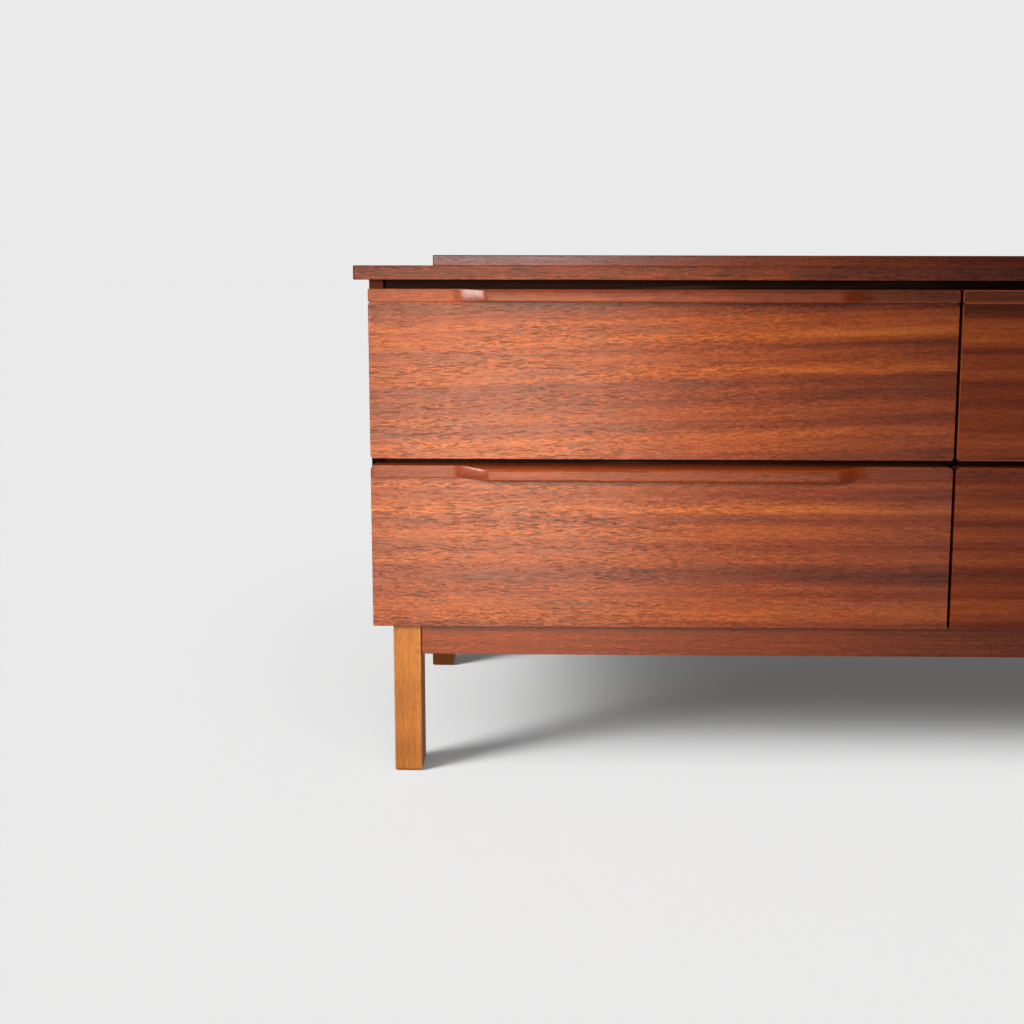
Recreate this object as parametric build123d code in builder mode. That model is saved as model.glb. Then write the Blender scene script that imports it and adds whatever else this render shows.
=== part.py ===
import os

from build123d import *

# A low double dresser: an overhanging slab top with a low rear gallery, a veneered case in two
# bays, four full-overlay drawers with a solid pull rail along the top of each face, and a base
# frame on four square legs.
#
# Millimetres. +X is to the right, -Y is the front, +Z is up. The origin is on the floor, under
# the middle of the object's outline, pulls included.

os.makedirs("parts", exist_ok=True)

# ---- driving dimensions ---------------------------------------------------------------------

BOARD = 19                      # thickness of every veneered panel and rail
TOP_HEIGHT = 711                # floor to the upper face of the slab top
SLAB_DEPTH = 500                # slab top, front to back
SLAB_OVERHANG = 18              # slab past each side panel
REAR_OVERHANG = 3               # slab past the back of the case
GALLERY_HEIGHT = 19
GALLERY_INSET = 48              # gallery end from the end of the slab

CASE_WIDTH = 1580               # over the side panels
CASE_BOTTOM = 220               # floor to the underside of the case
BACK_PLY = 6                    # back panel
RABBET = 8                      # how far the back panel is let into each side panel
RAIL_DEPTH = 38                 # the stiffening rails' larger section size
TOP_RAIL_SETBACK = 10           # front top rail behind the case's front edge

FACE_GAP = 1                    # drawer face to the case's front edge
FACE_END_GAP = 1.5              # drawer face short of the side panel's outer face
COLUMN_GAP = 4                  # between the left and right drawer faces
FACE_LEVELS = {"upper": (451, 663), "lower": (217.5, 425)}      # veneered face, low and high edge
BOX_LEVELS = {"upper": (456.5, 648), "lower": (245.5, 420)}     # drawer box, low and high edge
BOX_SIDE_CLEARANCE = 3          # drawer box to the bay wall, each side
BOX_LENGTH = 451                # drawer side behind the face
BOX_BOARD = 12                  # drawer sides and back
BOX_PLY = 5                     # drawer bottom
PLY_HEIGHT = 10                 # drawer bottom above the sides' lower edge
GROOVE = 6                      # depth of the grooves that hold the drawer bottom

PULL_HEIGHT = 17                # solid rail on top of the veneered face
PULL_PROUD = 0.5                # rail in front of the veneered face
PULL_REACH = 30                 # lip in front of the veneered face
PULL_LENGTH = 570               # lip with both of its curved ends
PULL_FLAT = 466                 # straight front of the lip

TAIL_DEPTH = 9                  # sliding dovetail that joins a drawer side to its face
TAIL_ROOT = 8                   # dovetail's width at the face
TAIL_TIP = 11                   # dovetail's width at its end

RUNNER_HEIGHT = 19
RUNNER_WIDTH = 30
LOW_RUNNER_HEIGHT = 6
LOW_RUNNER_WIDTH = 20
KICKER_WIDTH = 25
RUN_CLEARANCE = 0.5             # drawer side above its runner

LEG_WIDTH = 38
LEG_DEPTH = 44
LEG_INSET = 26                  # leg from the side panel's outer face
BASE_RAIL_BOTTOM = 168.5
BASE_RAIL_SETBACK = 8           # base rail behind the legs' outer faces
TENON_LENGTH = 18
TENON_THICKNESS = 8
TENON_SHOULDER = 6              # tenon below and above the rail's edges
BRACE_REACH = 40                # corner brace along each rail past the leg
BRACE_HEIGHT = 38

SCREW_HEAD_RADIUS = 3.6
SCREW_HEAD_DEPTH = 2.2
SCREW_SHANK_RADIUS = 1.7
SCREW_BITE = 12                 # screw past the piece that it passes through

EASED = 0.8                     # rounding of ordinary edges
THIN_EDGE = 0.4                 # rounding of the drawers' thin boards
SLAB_EDGE = 1.5                 # rounding of the slab's edges
SLAB_CORNER = 3                 # rounding of the slab's corners in plan
PULL_EDGE = 1.5
LEG_EDGE = 1.5
FOOT_EDGE = 4                   # rounding under each foot
FACE_CORNERS = {"upper": 5, "lower": 1.5}   # rounding of the lower corners of each row's faces
CLEAR = 1                       # how far a cut runs past the surface that it opens

# ---- levels and places worked out from them -------------------------------------------------

OVERALL_DEPTH = SLAB_DEPTH + PULL_REACH
FACE_FRONT = -OVERALL_DEPTH / 2 + PULL_REACH
FACE_BACK = FACE_FRONT + BOARD
SLAB_BACK = OVERALL_DEPTH / 2
CASE_FRONT = FACE_BACK + FACE_GAP
CASE_BACK = SLAB_BACK - REAR_OVERHANG
PLY_FRONT = CASE_BACK - BACK_PLY

SLAB_BOTTOM = TOP_HEIGHT - BOARD
FLOOR_PANEL_TOP = CASE_BOTTOM + BOARD
HALF_CASE = CASE_WIDTH / 2
SIDE_INNER = HALF_CASE - BOARD
HALF_SLAB = HALF_CASE + SLAB_OVERHANG
HALF_PARTITION = BOARD / 2
TOP_RAIL_BOTTOM = SLAB_BOTTOM - RAIL_DEPTH
TOP_RAIL_FRONT = CASE_FRONT + TOP_RAIL_SETBACK

RUNNER_TOP = BOX_LEVELS["upper"][0] - RUN_CLEARANCE
RUNNER_BOTTOM = RUNNER_TOP - RUNNER_HEIGHT
ROW_RAIL_SETBACK = 2
ROW_RAIL_BACK = CASE_FRONT + ROW_RAIL_SETBACK + RAIL_DEPTH

FACE_OUTER = HALF_CASE - FACE_END_GAP
FACE_INNER = COLUMN_GAP / 2
FACE_WIDTH = FACE_OUTER - FACE_INNER
FACE_MIDDLE = (FACE_OUTER + FACE_INNER) / 2
BOX_OUTER = SIDE_INNER - BOX_SIDE_CLEARANCE
BOX_INNER = HALF_PARTITION + BOX_SIDE_CLEARANCE
BOX_BACK = FACE_BACK + BOX_LENGTH
BACK_BOARD_INSET = 6            # drawer back from the rear ends of the drawer sides
BACK_BOARD_DADO = 5             # drawer back let into each side
BACK_BOARD_DROP = 6             # drawer back below the sides' upper edge

LEG_OUTER = HALF_CASE - LEG_INSET
LEG_INNER = LEG_OUTER - LEG_WIDTH
FRONT_LEG = (CASE_FRONT, CASE_FRONT + LEG_DEPTH)
REAR_LEG = (CASE_BACK - LEG_DEPTH, CASE_BACK)
FRONT_RAIL = (CASE_FRONT + BASE_RAIL_SETBACK, CASE_FRONT + BASE_RAIL_SETBACK + BOARD)
REAR_RAIL = (CASE_BACK - BASE_RAIL_SETBACK - BOARD, CASE_BACK - BASE_RAIL_SETBACK)
SIDE_RAIL = (LEG_OUTER - BASE_RAIL_SETBACK - BOARD, LEG_OUTER - BASE_RAIL_SETBACK)

BAYS = {"left": -1, "right": 1}


# ---- helpers --------------------------------------------------------------------------------

def save(piece, name):
    """Label a finished piece and write it."""
    piece.part.label = name
    export_step(piece.part, f"parts/{name}.step")


def span(low, high, side=1):
    """A range, mirrored to the left half when side is -1."""
    return (low, high) if side > 0 else (-high, -low)


def middle(limits):
    return (limits[0] + limits[1]) / 2


def length(limits):
    return limits[1] - limits[0]


def block(x, y, z, mode=Mode.ADD):
    """A rectangular block between the given limits, added to or cut from the current piece."""
    with Locations((middle(x), middle(y), middle(z))):
        Box(length(x), length(y), length(z), mode=mode)


def screws(places, depth, mode=Mode.ADD):
    """Countersunk screws, or their holes. Each place's +Z points out of the head."""
    ends = (Align.CENTER, Align.CENTER, Align.MAX)
    with Locations(*places):
        Cylinder(SCREW_SHANK_RADIUS, depth, align=ends, mode=mode)
        Cone(SCREW_SHANK_RADIUS, SCREW_HEAD_RADIUS, SCREW_HEAD_DEPTH, align=ends, mode=mode)


def board(name, x, y, z, edge=EASED, holes=()):
    """A plain board with eased edges, and the holes of the screws that pass through it."""
    with BuildPart() as piece:
        with BuildSketch(Plane.XY.offset(z[0])):
            with Locations((middle(x), middle(y))):
                Rectangle(length(x), length(y))
        extrude(amount=length(z))
        fillet(piece.edges(), edge)
        for places, depth in holes:
            screws(places, depth, Mode.SUBTRACT)
    save(piece, name)


def screw_group(name, places, depth):
    """All the screws of one kind as separate solids of one piece."""
    with BuildPart() as group:
        screws(places, depth)
    save(group, name)


def spread(count, low, high):
    """Evenly spaced places from low to high, ends included."""
    step = (high - low) / (count - 1)
    return [low + step * i for i in range(count)]


# ---- screws: where each group goes ----------------------------------------------------------

GALLERY_SCREW_LENGTH = BOARD + SCREW_BITE
TOP_SCREW_LENGTH = RAIL_DEPTH + SCREW_BITE
BACK_SCREW_LENGTH = BACK_PLY + SCREW_BITE
RUNNER_SCREW_LENGTH = RUNNER_WIDTH + SCREW_BITE
BRACE_SCREW_LENGTH = BRACE_HEIGHT + SCREW_BITE

GALLERY_SCREW_REACH = 680       # outermost gallery screw from the middle
TOP_SCREW_REACH = 600
BACK_SCREW_MARGIN = 50          # outermost back screw from the back panel's upper or lower edge
RUNNER_SCREW_LINES = (-120, 40, 200)
RUNNER_SCREW_STAGGER = 30       # keeps screws from both faces of the partition apart
BRACE_SCREW_FROM_LEG = (9, 3)   # from the front leg's inner corner: inwards, and to the front

gallery_places = [
    Plane((x, SLAB_BACK - BOARD / 2, SLAB_BOTTOM), z_dir=(0, 0, -1))
    for x in spread(6, -GALLERY_SCREW_REACH, GALLERY_SCREW_REACH)
]
top_places = [
    Plane((x, y, TOP_RAIL_BOTTOM), z_dir=(0, 0, -1))
    for x in spread(4, -TOP_SCREW_REACH, TOP_SCREW_REACH)
    for y in (TOP_RAIL_FRONT + BOARD / 2, PLY_FRONT - BOARD / 2)
]
back_places = [
    Plane((x, CASE_BACK, z), z_dir=(0, 1, 0))
    for x in (-HALF_CASE + BOARD - RABBET / 2, 0, HALF_CASE - BOARD + RABBET / 2)
    for z in spread(4, CASE_BOTTOM + BACK_SCREW_MARGIN, SLAB_BOTTOM - BACK_SCREW_MARGIN)
]
brace_places = [
    Plane((side * (LEG_INNER - BRACE_SCREW_FROM_LEG[0]), y, CASE_BOTTOM - BRACE_HEIGHT),
          z_dir=(0, 0, -1))
    for side in BAYS.values()
    for y in (FRONT_LEG[1] - BRACE_SCREW_FROM_LEG[1], REAR_LEG[0] + BRACE_SCREW_FROM_LEG[1])
]


def runner_places(side, wall):
    """The three screws that hold an upper runner to the side panel or the partition."""
    if wall == "outer":
        x, out = side * (SIDE_INNER - RUNNER_WIDTH), -side
    else:
        x, out = side * (HALF_PARTITION + RUNNER_WIDTH), side
    shift = RUNNER_SCREW_STAGGER if (wall, side) == ("inner", 1) else 0
    return [
        Plane((x, y + shift, RUNNER_TOP - RUNNER_HEIGHT / 2), x_dir=(0, 1, 0), z_dir=(out, 0, 0))
        for y in RUNNER_SCREW_LINES
    ]


RUNNER_PLACES = {(bay, wall): runner_places(side, wall)
                 for bay, side in BAYS.items() for wall in ("outer", "inner")}


# ---- the top --------------------------------------------------------------------------------

with BuildPart() as top_panel:
    with BuildSketch(Plane.XY.offset(SLAB_BOTTOM)):
        with Locations((0, SLAB_BACK - SLAB_DEPTH / 2)):
            RectangleRounded(2 * HALF_SLAB, SLAB_DEPTH, SLAB_CORNER)
    extrude(amount=BOARD)
    by_height = top_panel.edges().group_by(Axis.Z)
    fillet(by_height[0] + by_height[-1], SLAB_EDGE)
    screws(gallery_places, GALLERY_SCREW_LENGTH, Mode.SUBTRACT)
    screws(top_places, TOP_SCREW_LENGTH, Mode.SUBTRACT)
save(top_panel, "top_panel")

board("back_gallery", span(-HALF_SLAB + GALLERY_INSET, HALF_SLAB - GALLERY_INSET),
      (SLAB_BACK - BOARD, SLAB_BACK), (TOP_HEIGHT, TOP_HEIGHT + GALLERY_HEIGHT), edge=SLAB_EDGE,
      holes=[(gallery_places, GALLERY_SCREW_LENGTH)])
screw_group("gallery_screws", gallery_places, GALLERY_SCREW_LENGTH)

# ---- the case -------------------------------------------------------------------------------

for bay, side in BAYS.items():
    with BuildPart() as side_panel:
        with BuildSketch(Plane.XY.offset(CASE_BOTTOM)):
            with Locations((side * (HALF_CASE - BOARD / 2), (CASE_FRONT + CASE_BACK) / 2)):
                Rectangle(BOARD, CASE_BACK - CASE_FRONT)
        extrude(amount=SLAB_BOTTOM - CASE_BOTTOM)
        fillet(side_panel.edges(), EASED)
        block(span(SIDE_INNER - CLEAR, SIDE_INNER + RABBET, side), (PLY_FRONT, CASE_BACK + CLEAR),
              (CASE_BOTTOM - CLEAR, SLAB_BOTTOM + CLEAR), Mode.SUBTRACT)
        screws(back_places, BACK_SCREW_LENGTH, Mode.SUBTRACT)
        screws(RUNNER_PLACES[bay, "outer"], RUNNER_SCREW_LENGTH, Mode.SUBTRACT)
    save(side_panel, f"{bay}_side_panel")

with BuildPart() as partition:
    with BuildSketch(Plane.XY.offset(FLOOR_PANEL_TOP)):
        with Locations((0, (CASE_FRONT + PLY_FRONT) / 2)):
            Rectangle(BOARD, PLY_FRONT - CASE_FRONT)
    extrude(amount=SLAB_BOTTOM - FLOOR_PANEL_TOP)
    fillet(partition.edges(), EASED)
    front_notch = (CASE_FRONT - CLEAR, TOP_RAIL_FRONT + BOARD)
    rear_notch = (PLY_FRONT - BOARD, PLY_FRONT + CLEAR)
    for notch in (front_notch, rear_notch):
        block((-BOARD, BOARD), notch, (TOP_RAIL_BOTTOM, SLAB_BOTTOM + CLEAR), Mode.SUBTRACT)
    screws(back_places, BACK_SCREW_LENGTH, Mode.SUBTRACT)
    for bay in BAYS:
        screws(RUNNER_PLACES[bay, "inner"], RUNNER_SCREW_LENGTH, Mode.SUBTRACT)
save(partition, "centre_partition")

board("bottom_panel", span(-SIDE_INNER, SIDE_INNER), (CASE_FRONT, PLY_FRONT),
      (CASE_BOTTOM, FLOOR_PANEL_TOP), holes=[(brace_places, BRACE_SCREW_LENGTH)])

with BuildPart() as back_panel:
    with BuildSketch(Plane.XY.offset(CASE_BOTTOM)):
        with Locations((0, (PLY_FRONT + CASE_BACK) / 2)):
            Rectangle(2 * (SIDE_INNER + RABBET), BACK_PLY)
    extrude(amount=SLAB_BOTTOM - CASE_BOTTOM)
    screws(back_places, BACK_SCREW_LENGTH, Mode.SUBTRACT)
save(back_panel, "back_panel")
screw_group("back_panel_screws", back_places, BACK_SCREW_LENGTH)

for name, front in (("front_top_rail", TOP_RAIL_FRONT), ("rear_top_rail", PLY_FRONT - BOARD)):
    board(name, span(-SIDE_INNER, SIDE_INNER), (front, front + BOARD),
          (TOP_RAIL_BOTTOM, SLAB_BOTTOM), holes=[(top_places, TOP_SCREW_LENGTH)])
screw_group("top_panel_screws", top_places, TOP_SCREW_LENGTH)

for bay, side in BAYS.items():
    board(f"{bay}_row_rail", span(HALF_PARTITION, SIDE_INNER, side),
          (CASE_FRONT + ROW_RAIL_SETBACK, ROW_RAIL_BACK), (RUNNER_BOTTOM, RUNNER_TOP))
    walls = {"outer": span(SIDE_INNER - RUNNER_WIDTH, SIDE_INNER, side),
             "inner": span(HALF_PARTITION, HALF_PARTITION + RUNNER_WIDTH, side)}
    for wall, limits in walls.items():
        board(f"{bay}_{wall}_runner", limits, (ROW_RAIL_BACK, PLY_FRONT),
              (RUNNER_BOTTOM, RUNNER_TOP), holes=[(RUNNER_PLACES[bay, wall], RUNNER_SCREW_LENGTH)])

    with BuildPart() as low_runners:
        for wall in (span(SIDE_INNER - LOW_RUNNER_WIDTH, SIDE_INNER, side),
                     span(HALF_PARTITION, HALF_PARTITION + LOW_RUNNER_WIDTH, side)):
            block(wall, (CASE_FRONT + ROW_RAIL_SETBACK, PLY_FRONT),
                  (FLOOR_PANEL_TOP, FLOOR_PANEL_TOP + LOW_RUNNER_HEIGHT))
        fillet(low_runners.edges(), EASED)
    save(low_runners, f"{bay}_bay_low_runners")

    with BuildPart() as kickers:
        for wall in (span(SIDE_INNER - KICKER_WIDTH, SIDE_INNER, side),
                     span(HALF_PARTITION, HALF_PARTITION + KICKER_WIDTH, side)):
            block(wall, (TOP_RAIL_FRONT + BOARD, PLY_FRONT - BOARD),
                  (TOP_RAIL_BOTTOM, TOP_RAIL_BOTTOM + RUNNER_HEIGHT))
        fillet(kickers.edges(), EASED)
    save(kickers, f"{bay}_bay_kickers")

screw_group("runner_screws", [place for group in RUNNER_PLACES.values() for place in group],
            RUNNER_SCREW_LENGTH)

# ---- the base frame -------------------------------------------------------------------------

TENON_LEVELS = (BASE_RAIL_BOTTOM + TENON_SHOULDER, CASE_BOTTOM - TENON_SHOULDER)


def tenon_across(y_rail, side, mode):
    """The tenon at one end of the front or rear rail, or its mortise in the leg."""
    centre = middle(y_rail)
    block(span(LEG_INNER, LEG_INNER + TENON_LENGTH, side),
          (centre - TENON_THICKNESS / 2, centre + TENON_THICKNESS / 2), TENON_LEVELS, mode)


def tenon_along(end, side, mode):
    """The tenon at the front or rear end of a side rail, or its mortise in the leg."""
    y = (FRONT_LEG[1] - TENON_LENGTH, FRONT_LEG[1])
    if end == "rear":
        y = (REAR_LEG[0], REAR_LEG[0] + TENON_LENGTH)
    centre = middle(SIDE_RAIL)
    block(span(centre - TENON_THICKNESS / 2, centre + TENON_THICKNESS / 2, side), y,
          TENON_LEVELS, mode)


for end, y_leg, y_rail in (("front", FRONT_LEG, FRONT_RAIL), ("rear", REAR_LEG, REAR_RAIL)):
    for hand, side in BAYS.items():
        with BuildPart() as leg:
            with BuildSketch():
                with Locations((side * (LEG_OUTER - LEG_WIDTH / 2), middle(y_leg))):
                    Rectangle(LEG_WIDTH, LEG_DEPTH)
            extrude(amount=CASE_BOTTOM)
            fillet(leg.edges().group_by(Axis.Z)[0], FOOT_EDGE)
            fillet(leg.edges().filter_by(Axis.Z), LEG_EDGE)
            tenon_across(y_rail, side, Mode.SUBTRACT)
            tenon_along(end, side, Mode.SUBTRACT)
        save(leg, f"{end}_{hand}_leg")

    with BuildPart() as rail:
        block((-LEG_INNER, LEG_INNER), y_rail, (BASE_RAIL_BOTTOM, CASE_BOTTOM))
        fillet(rail.edges().filter_by(Axis.X), EASED)
        for side in BAYS.values():
            tenon_across(y_rail, side, Mode.ADD)
    save(rail, f"{end}_base_rail")

for hand, side in BAYS.items():
    with BuildPart() as rail:
        block(span(*SIDE_RAIL, side), (FRONT_LEG[1], REAR_LEG[0]), (BASE_RAIL_BOTTOM, CASE_BOTTOM))
        fillet(rail.edges().filter_by(Axis.Y), EASED)
        for end in ("front", "rear"):
            tenon_along(end, side, Mode.ADD)
    save(rail, f"{hand}_base_rail")

board("centre_base_rail", (-HALF_PARTITION, HALF_PARTITION), (FRONT_RAIL[1], REAR_RAIL[0]),
      (BASE_RAIL_BOTTOM, CASE_BOTTOM))

with BuildPart() as braces:
    # One brace in each corner: it lies along both rails and is notched round the leg.
    for hand, side in BAYS.items():
        for end, flip in (("front", 1), ("rear", -1)):
            rail_face = FRONT_RAIL[1] if end == "front" else REAR_RAIL[0]
            leg_face = FRONT_LEG[1] if end == "front" else REAR_LEG[0]
            with BuildSketch(Plane.XY.offset(CASE_BOTTOM - BRACE_HEIGHT)):
                with BuildLine():
                    Polyline(
                        (side * LEG_INNER, rail_face),
                        (side * (LEG_INNER - BRACE_REACH), rail_face),
                        (side * SIDE_RAIL[0], leg_face + flip * BRACE_REACH),
                        (side * SIDE_RAIL[0], leg_face),
                        (side * LEG_INNER, leg_face),
                        close=True,
                    )
                make_face()
    extrude(amount=BRACE_HEIGHT)
    screws(brace_places, BRACE_SCREW_LENGTH, Mode.SUBTRACT)
save(braces, "corner_braces")
screw_group("corner_brace_screws", brace_places, BRACE_SCREW_LENGTH)


# ---- the drawers ----------------------------------------------------------------------------

def tail(side, box_side, levels, mode):
    """The dovetail on a drawer side's front end, or its groove in the back of the face."""
    if box_side == "outer":
        centre = side * (BOX_OUTER - BOX_BOARD / 2)
    else:
        centre = side * (BOX_INNER + BOX_BOARD / 2)
    with BuildPart(mode=Mode.PRIVATE) as dovetail:
        with BuildSketch(Plane.XY.offset(levels[0])):
            with BuildLine():
                Polyline(
                    (centre - TAIL_ROOT / 2, FACE_BACK),
                    (centre - TAIL_TIP / 2, FACE_BACK - TAIL_DEPTH),
                    (centre + TAIL_TIP / 2, FACE_BACK - TAIL_DEPTH),
                    (centre + TAIL_ROOT / 2, FACE_BACK),
                    close=True,
                )
            make_face()
        extrude(amount=length(levels))
    add(dovetail.part, mode=mode)


def ply_limits(side, box):
    """The drawer bottom: into both sides and the face, and out to the rear of the drawer back."""
    reach = BOX_BOARD - GROOVE
    x = span(BOX_INNER + reach, BOX_OUTER - reach, side)
    y = (FACE_BACK - GROOVE, BOX_BACK - BACK_BOARD_INSET)
    z = (box[0] + PLY_HEIGHT, box[0] + PLY_HEIGHT + BOX_PLY)
    return x, y, z


def back_limits(side, box):
    """The drawer back: between the sides, resting on the drawer bottom."""
    reach = BOX_BOARD - BACK_BOARD_DADO
    x = span(BOX_INNER + reach, BOX_OUTER - reach, side)
    y = (BOX_BACK - BACK_BOARD_INSET - BOX_BOARD, BOX_BACK - BACK_BOARD_INSET)
    z = (box[0] + PLY_HEIGHT + BOX_PLY, box[1] - BACK_BOARD_DROP)
    return x, y, z


def drawer_face(name, side, face, box):
    """The veneered face, grooved behind for the drawer bottom and the sides' dovetails."""
    front_view = Plane((side * FACE_MIDDLE, FACE_BACK, middle(face)), x_dir=(1, 0, 0),
                       z_dir=(0, -1, 0))
    with BuildPart() as piece:
        with BuildSketch(front_view) as outline:
            Rectangle(FACE_WIDTH, length(face))
            corners = outline.vertices().group_by(Axis.Z)
            fillet(corners[0], FACE_CORNERS[name.split("_")[0]])
            fillet(corners[-1], EASED)
        extrude(amount=BOARD)
        by_depth = piece.edges().group_by(Axis.Y)
        fillet(by_depth[0] + by_depth[-1], EASED)
        block(*ply_limits(side, box), Mode.SUBTRACT)
        for box_side in ("outer", "inner"):
            tail(side, box_side, (face[0], box[1]), Mode.SUBTRACT)
    save(piece, name)


def pull_rail(name, side, base):
    """The solid rail above the face. Its middle swells forward into a lip to pull by."""
    strip_front = FACE_FRONT - PULL_PROUD
    lip_front = FACE_FRONT - PULL_REACH
    start = (-PULL_LENGTH / 2, strip_front)
    bend = (-(PULL_LENGTH + PULL_FLAT) / 4, (strip_front + lip_front) / 2)
    tip = (-PULL_FLAT / 2, lip_front)
    with BuildPart() as piece:
        with BuildSketch(Plane((side * FACE_MIDDLE, 0, base))):
            with BuildLine():
                Polyline((0, FACE_BACK), (-FACE_WIDTH / 2, FACE_BACK),
                         (-FACE_WIDTH / 2, strip_front), start)
                cove = TangentArc(start, bend, tangent=(1, 0))
                TangentArc(bend, tip, tangent=cove % 1)
                Line(tip, (0, lip_front))
                mirror(about=Plane.YZ)
            make_face()
        extrude(amount=PULL_HEIGHT)
        front = piece.edges().filter_by_position(Axis.Y, lip_front - CLEAR, strip_front + CLEAR)
        by_height = front.group_by(Axis.Z)
        fillet(by_height[0] + by_height[-1], PULL_EDGE)
    save(piece, name)


def drawer_side(name, side, box_side, box):
    """A drawer side: dovetail in front, groove for the bottom, dado for the back."""
    if box_side == "outer":
        limits = span(BOX_OUTER - BOX_BOARD, BOX_OUTER, side)
    else:
        limits = span(BOX_INNER, BOX_INNER + BOX_BOARD, side)
    with BuildPart() as piece:
        with BuildSketch(Plane.XY.offset(box[0])):
            with Locations((middle(limits), (FACE_BACK + BOX_BACK) / 2)):
                Rectangle(BOX_BOARD, BOX_LENGTH)
        extrude(amount=length(box))
        fillet(piece.edges().filter_by(Axis.Y), EASED)
        block(*back_limits(side, box), Mode.SUBTRACT)
        tail(side, box_side, (box[0] + EASED, box[1]), Mode.ADD)
        ply_x, ply_y, ply_z = ply_limits(side, box)
        block(ply_x, (ply_y[0], BOX_BACK + CLEAR), ply_z, Mode.SUBTRACT)
    save(piece, name)


for row, face in FACE_LEVELS.items():
    box = BOX_LEVELS[row]
    for bay, side in BAYS.items():
        drawer = f"{row}_{bay}_drawer"
        drawer_face(f"{drawer}_face", side, face, box)
        pull_rail(f"{drawer}_pull_rail", side, face[1])
        drawer_side(f"{drawer}_outer_side", side, "outer", box)
        drawer_side(f"{drawer}_inner_side", side, "inner", box)
        board(f"{drawer}_back", *back_limits(side, box), edge=THIN_EDGE)
        board(f"{drawer}_bottom", *ply_limits(side, box), edge=THIN_EDGE)
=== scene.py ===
import math

import bpy
from mathutils import Matrix, Vector


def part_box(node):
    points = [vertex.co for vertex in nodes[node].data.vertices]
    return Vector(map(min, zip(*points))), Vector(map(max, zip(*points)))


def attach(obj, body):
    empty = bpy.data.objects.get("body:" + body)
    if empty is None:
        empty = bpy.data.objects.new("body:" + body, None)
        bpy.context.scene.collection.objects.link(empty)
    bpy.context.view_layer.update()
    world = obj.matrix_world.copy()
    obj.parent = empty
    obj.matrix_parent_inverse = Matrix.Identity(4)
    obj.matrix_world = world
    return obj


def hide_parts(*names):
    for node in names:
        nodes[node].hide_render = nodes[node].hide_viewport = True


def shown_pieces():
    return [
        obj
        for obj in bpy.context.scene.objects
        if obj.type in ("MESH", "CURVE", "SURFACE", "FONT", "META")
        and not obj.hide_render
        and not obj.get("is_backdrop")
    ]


# The look of the double dresser: satin ribbon-figured mahogany on the faces, slab and base rails,
# golden legs, pale drawer boxes, and pull rails whose middle swells into a lip.
#
# Metres, in the CAD frame: +X is to the right, -Y is the front, +Z is up, origin on the floor.

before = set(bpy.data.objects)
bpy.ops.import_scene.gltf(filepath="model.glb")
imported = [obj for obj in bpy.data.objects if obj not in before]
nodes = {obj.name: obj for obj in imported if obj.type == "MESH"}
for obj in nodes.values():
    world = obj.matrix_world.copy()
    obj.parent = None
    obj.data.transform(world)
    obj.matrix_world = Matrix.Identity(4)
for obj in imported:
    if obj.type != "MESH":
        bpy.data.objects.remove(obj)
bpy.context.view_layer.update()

WHITE = (1.0, 1.0, 1.0)


# ---- node trees -----------------------------------------------------------------------------

class Graph:
    """A node tree with short calls for the nodes that the materials here are made of."""

    def __init__(self, tree):
        self.tree = tree
        tree.nodes.clear()

    def put(self, socket, value):
        """Links value to socket if it is another node's output, and sets it if it is a constant."""
        if isinstance(value, bpy.types.NodeSocket):
            self.tree.links.new(value, socket)
        elif value is not None:
            socket.default_value = value

    def node(self, kind, inputs=None, **settings):
        made = self.tree.nodes.new(kind)
        for key, value in settings.items():
            setattr(made, key, value)
        for key, value in (inputs or {}).items():
            self.put(made.inputs[key], value)
        return made

    def math(self, operation, a, b=None, c=None):
        return self.node("ShaderNodeMath", {0: a, 1: b, 2: c}, operation=operation).outputs[0]

    def add(self, a, b):
        return self.math("ADD", a, b)

    def times(self, a, b):
        return self.math("MULTIPLY", a, b)

    def scaled(self, value, by, plus):
        return self.math("MULTIPLY_ADD", value, by, plus)

    def spread(self, noise, size, middle=0.0):
        """Turns noise from 0 to 1 into a value that swings over size around middle."""
        return self.scaled(noise, size, middle - size / 2)

    def total(self, *values):
        result = values[0]
        for value in values[1:]:
            result = self.add(result, value)
        return result

    def step(self, value, low, high, start=0.0, end=1.0):
        """Goes smoothly from start at low to end at high."""
        given = {"Value": value, "From Min": low, "From Max": high, "To Min": start, "To Max": end}
        return self.node("ShaderNodeMapRange", given, interpolation_type="SMOOTHSTEP").outputs[0]

    def vector(self, x, y, z):
        return self.node("ShaderNodeCombineXYZ", {0: x, 1: y, 2: z}).outputs[0]

    def stretched(self, vector, by):
        scale = (by, by, by)
        return self.node("ShaderNodeVectorMath", {0: vector, 1: scale}, operation="MULTIPLY").outputs[0]

    def noise(self, vector, detail, roughness=0.5):
        given = {"Vector": vector, "Scale": 1.0, "Detail": detail, "Roughness": roughness}
        return self.node("ShaderNodeTexNoise", given, noise_dimensions="3D").outputs["Fac"]

    def ramp(self, value, stops, interpolation="EASE"):
        """A colour ramp through stops of (position, grey or colour)."""
        made = self.node("ShaderNodeValToRGB", {0: value})
        made.color_ramp.interpolation = interpolation
        elements = made.color_ramp.elements
        while len(elements) < len(stops):
            elements.new(0.5)
        for element, (position, colour) in zip(elements, stops):
            element.position = position
            if isinstance(colour, (int, float)):
                colour = (colour,) * 3
            element.color = (*colour, 1.0)
        return made.outputs["Color"]

    def mix(self, factor, a, b, kind="MIX"):
        made = self.node("ShaderNodeMix", data_type="RGBA", blend_type=kind)
        for index, value in ((0, factor), (6, a), (7, b)):
            if isinstance(value, tuple):
                value = (*value, 1.0)
            self.put(made.inputs[index], value)
        return made.outputs[2]

    def tinted(self, colour, by):
        return self.mix(1.0, colour, by, "MULTIPLY")

    def finish(self, shader):
        self.tree.links.new(shader.outputs[0], self.node("ShaderNodeOutputMaterial").inputs[0])


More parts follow.
